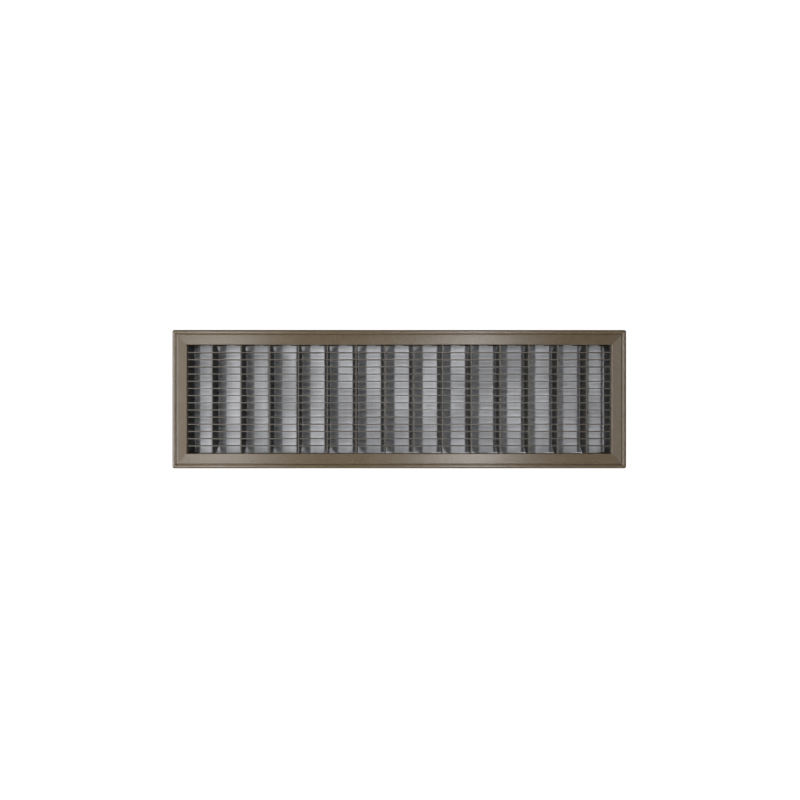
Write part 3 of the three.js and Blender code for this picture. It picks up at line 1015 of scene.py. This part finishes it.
class REGISTER_OT_stage(bpy.types.Operator):
    """Pale floor, soft studio lights and the camera"""

    bl_idname = "register.stage"
    bl_label = "Stage"

    def execute(self, context):
        sizes = context.scene.register_stage
        colours = context.scene.register_colours
        bpy.ops.object.select_all(action="DESELECT")
        bpy.ops.mesh.primitive_plane_add(size=30, location=(0, 0, -sizes.floor_drop))
        floor = context.object
        floor.name = "studio_floor"
        paint = bpy.data.materials.new("studio_floor")
        paint.use_nodes = True
        tree = paint.node_tree
        shader = tree.nodes["Principled BSDF"]
        shader.inputs["Base Color"].default_value = colours.floor
        shader.inputs["Roughness"].default_value = 0.9
        shader.inputs["Emission Color"].default_value = (1, 1, 1, 1)
        # The floor is burnt out to white for the eye, and lights the piece only as plain paint.
        path = add_node(tree, "ShaderNodeLightPath")
        tree.links.new(path.outputs["Is Camera Ray"], shader.inputs["Emission Strength"])
        floor.data.materials.append(paint)
        self.lights()
        self.sky()
        camera = bpy.data.cameras.new("camera")
        camera.lens = sizes.lens
        camera.sensor_width = 36
        view = bpy.data.objects.new("camera", camera)
        view.location = (1.0 * MM, -sizes.distance, -1.2 * MM)
        view.rotation_euler = (math.pi / 2, 0, 0)
        context.scene.collection.objects.link(view)
        context.scene.camera = view
        context.scene.view_settings.view_transform = "Standard"
        return {"FINISHED"}

    def lights(self):
        softbox("left_box", (-0.62, -1.25, -0.16), (-0.26, 0, -0.16), 0.20, 1.35, 9)
        softbox("right_box", (0.262, -1.25, -0.12), (0.11, 0, -0.12), 0.15, 1.4, 8)
        softbox("low_box", (0.185, -1.25, -0.47), (0.08, 0, -0.1), 0.28, 0.3, 1.6)
        softbox("left_side_box", (-1.45, -1.0, 0.0), (0, 0, 0), 0.8, 1.2, 32)
        softbox("right_side_box", (1.0, -1.25, 0.0), (0.2, 0, 0), 0.3, 1.2, 3)
        softbox("front_box", (0.08, -1.30, 0.25), (0, 0, 0), 0.5, 0.14, 1.5)
        softbox("rear_box", (0.4, 1.6, 0.9), (0, 0, 0), 1.2, 1.0, 14)

    def sky(self):
        """White to the eye, and a dimmer even light on the object."""
        world = bpy.data.worlds.new("studio")
        bpy.context.scene.world = world
        world.use_nodes = True
        tree = world.node_tree
        tree.nodes.clear()
        seen = add_node(tree, "ShaderNodeBackground")
        seen.inputs["Strength"].default_value = 1.05
        seen.inputs["Color"].default_value = (1, 1, 1, 1)
        lit = add_node(tree, "ShaderNodeBackground")
        lit.inputs["Color"].default_value = (0.96, 0.98, 1.0, 1)
        lit.inputs["Strength"].default_value = 0.1
        path = add_node(tree, "ShaderNodeLightPath")
        mix = add_node(tree, "ShaderNodeMixShader")
        sink = add_node(tree, "ShaderNodeOutputWorld")
        tree.links.new(path.outputs["Is Camera Ray"], mix.inputs[0])
        tree.links.new(lit.outputs[0], mix.inputs[1])
        tree.links.new(seen.outputs[0], mix.inputs[2])
        tree.links.new(mix.outputs[0], sink.inputs[0])


# ---------------------------------------------------------------- panel and registration


class REGISTER_PT_panel(bpy.types.Panel):
    """Lists the register's sizes, colours and pieces"""

    bl_idname = "REGISTER_PT_panel"
    bl_label = "Supply Register"
    bl_space_type = "VIEW_3D"
    bl_region_type = "UI"
    bl_category = "Register"

    def draw(self, context):
        for group in SETTINGS:
            box = self.layout.box()
            for key in SETTINGS[group].__annotations__:
                box.prop(getattr(context.scene, group), key)
        for operator in PIECES:
            self.layout.operator(operator.bl_idname)


SETTINGS = {
    "register_frame": FrameSizes,
    "register_bars": BarSizes,
    "register_blades": BladeSizes,
    "register_colours": Colours,
    "register_stage": StageSizes,
}
PIECES = [
    REGISTER_OT_stage,
    REGISTER_OT_frame,
    REGISTER_OT_face_bars,
    REGISTER_OT_support_bars,
    REGISTER_OT_blades,
    REGISTER_OT_casing,
    REGISTER_OT_tie_bar,
    REGISTER_OT_hidden_parts,
]


def register():
    for cls in (*SETTINGS.values(), *PIECES, REGISTER_PT_panel):
        bpy.utils.register_class(cls)
    for name, cls in SETTINGS.items():
        setattr(bpy.types.Scene, name, PointerProperty(type=cls))


def unregister():
    for name in SETTINGS:
        delattr(bpy.types.Scene, name)
    for cls in (REGISTER_PT_panel, *reversed(PIECES), *SETTINGS.values()):
        bpy.utils.unregister_class(cls)


def main():
    register()
    bpy.ops.register.stage()
    bpy.ops.register.frame()
    bpy.ops.register.face_bars()
    bpy.ops.register.support_bars()
    bpy.ops.register.blades()
    bpy.ops.register.casing()
    bpy.ops.register.tie_bar()
    bpy.ops.register.hidden_parts()


if __name__ == "__main__":
    main()
